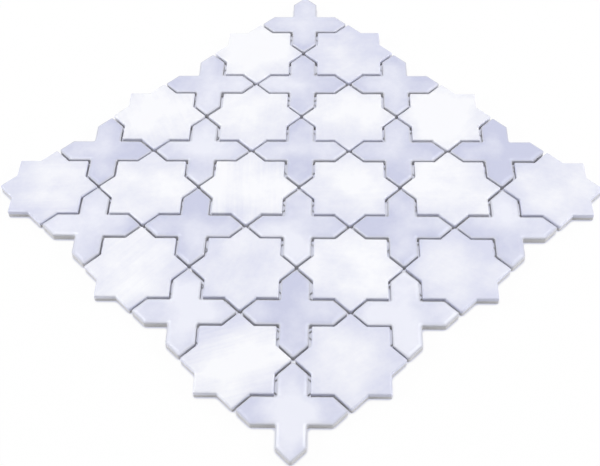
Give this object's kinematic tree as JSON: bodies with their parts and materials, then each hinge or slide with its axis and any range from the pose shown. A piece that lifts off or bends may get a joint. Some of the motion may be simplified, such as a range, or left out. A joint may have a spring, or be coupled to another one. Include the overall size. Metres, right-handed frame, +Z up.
{
  "type": "star and cross mosaic tile sheet",
  "caption": "Square sheet of glazed ceramic eight-pointed stars and pointed crosses, laid with open joints on a backing net, for facing walls and floors.",
  "frame": {"origin": "under the middle of the sheet, on the surface that it lies on", "axes": "+Z up through the glazed faces; +X and +Y along the sheet's edges"},
  "size_m": [0.2995, 0.2997, 0.0056],
  "materials": {
    "star_glaze": "gloss",
    "cross_glaze": "gloss",
    "net": "matte"
  },
  "bodies": {
    "root": {"cross_tile_r1_c1": "cross_glaze", "star_tile_r1_c2": "star_glaze", "cross_tile_r1_c3": "cross_glaze", "star_tile_r1_c4": "star_glaze", "cross_tile_r1_c5": "cross_glaze", "star_tile_r1_c6": "star_glaze", "star_tile_r2_c1": "star_glaze", "cross_tile_r2_c2": "cross_glaze", "star_tile_r2_c3": "star_glaze", "cross_tile_r2_c4": "cross_glaze", "star_tile_r2_c5": "star_glaze", "cross_tile_r2_c6": "cross_glaze", "cross_tile_r3_c1": "cross_glaze", "star_tile_r3_c2": "star_glaze", "cross_tile_r3_c3": "cross_glaze", "star_tile_r3_c4": "star_glaze", "cross_tile_r3_c5": "cross_glaze", "star_tile_r3_c6": "star_glaze", "star_tile_r4_c1": "star_glaze", "cross_tile_r4_c2": "cross_glaze", "star_tile_r4_c3": "star_glaze", "cross_tile_r4_c4": "cross_glaze", "star_tile_r4_c5": "star_glaze", "cross_tile_r4_c6": "cross_glaze", "cross_tile_r5_c1": "cross_glaze", "star_tile_r5_c2": "star_glaze", "cross_tile_r5_c3": "cross_glaze", "star_tile_r5_c4": "star_glaze", "cross_tile_r5_c5": "cross_glaze", "star_tile_r5_c6": "star_glaze", "star_tile_r6_c1": "star_glaze", "cross_tile_r6_c2": "cross_glaze", "star_tile_r6_c3": "star_glaze", "cross_tile_r6_c4": "cross_glaze", "star_tile_r6_c5": "star_glaze", "cross_tile_r6_c6": "cross_glaze", "backing_net_left": "net", "backing_net_right": "net"}
  },
  "joints": []
}
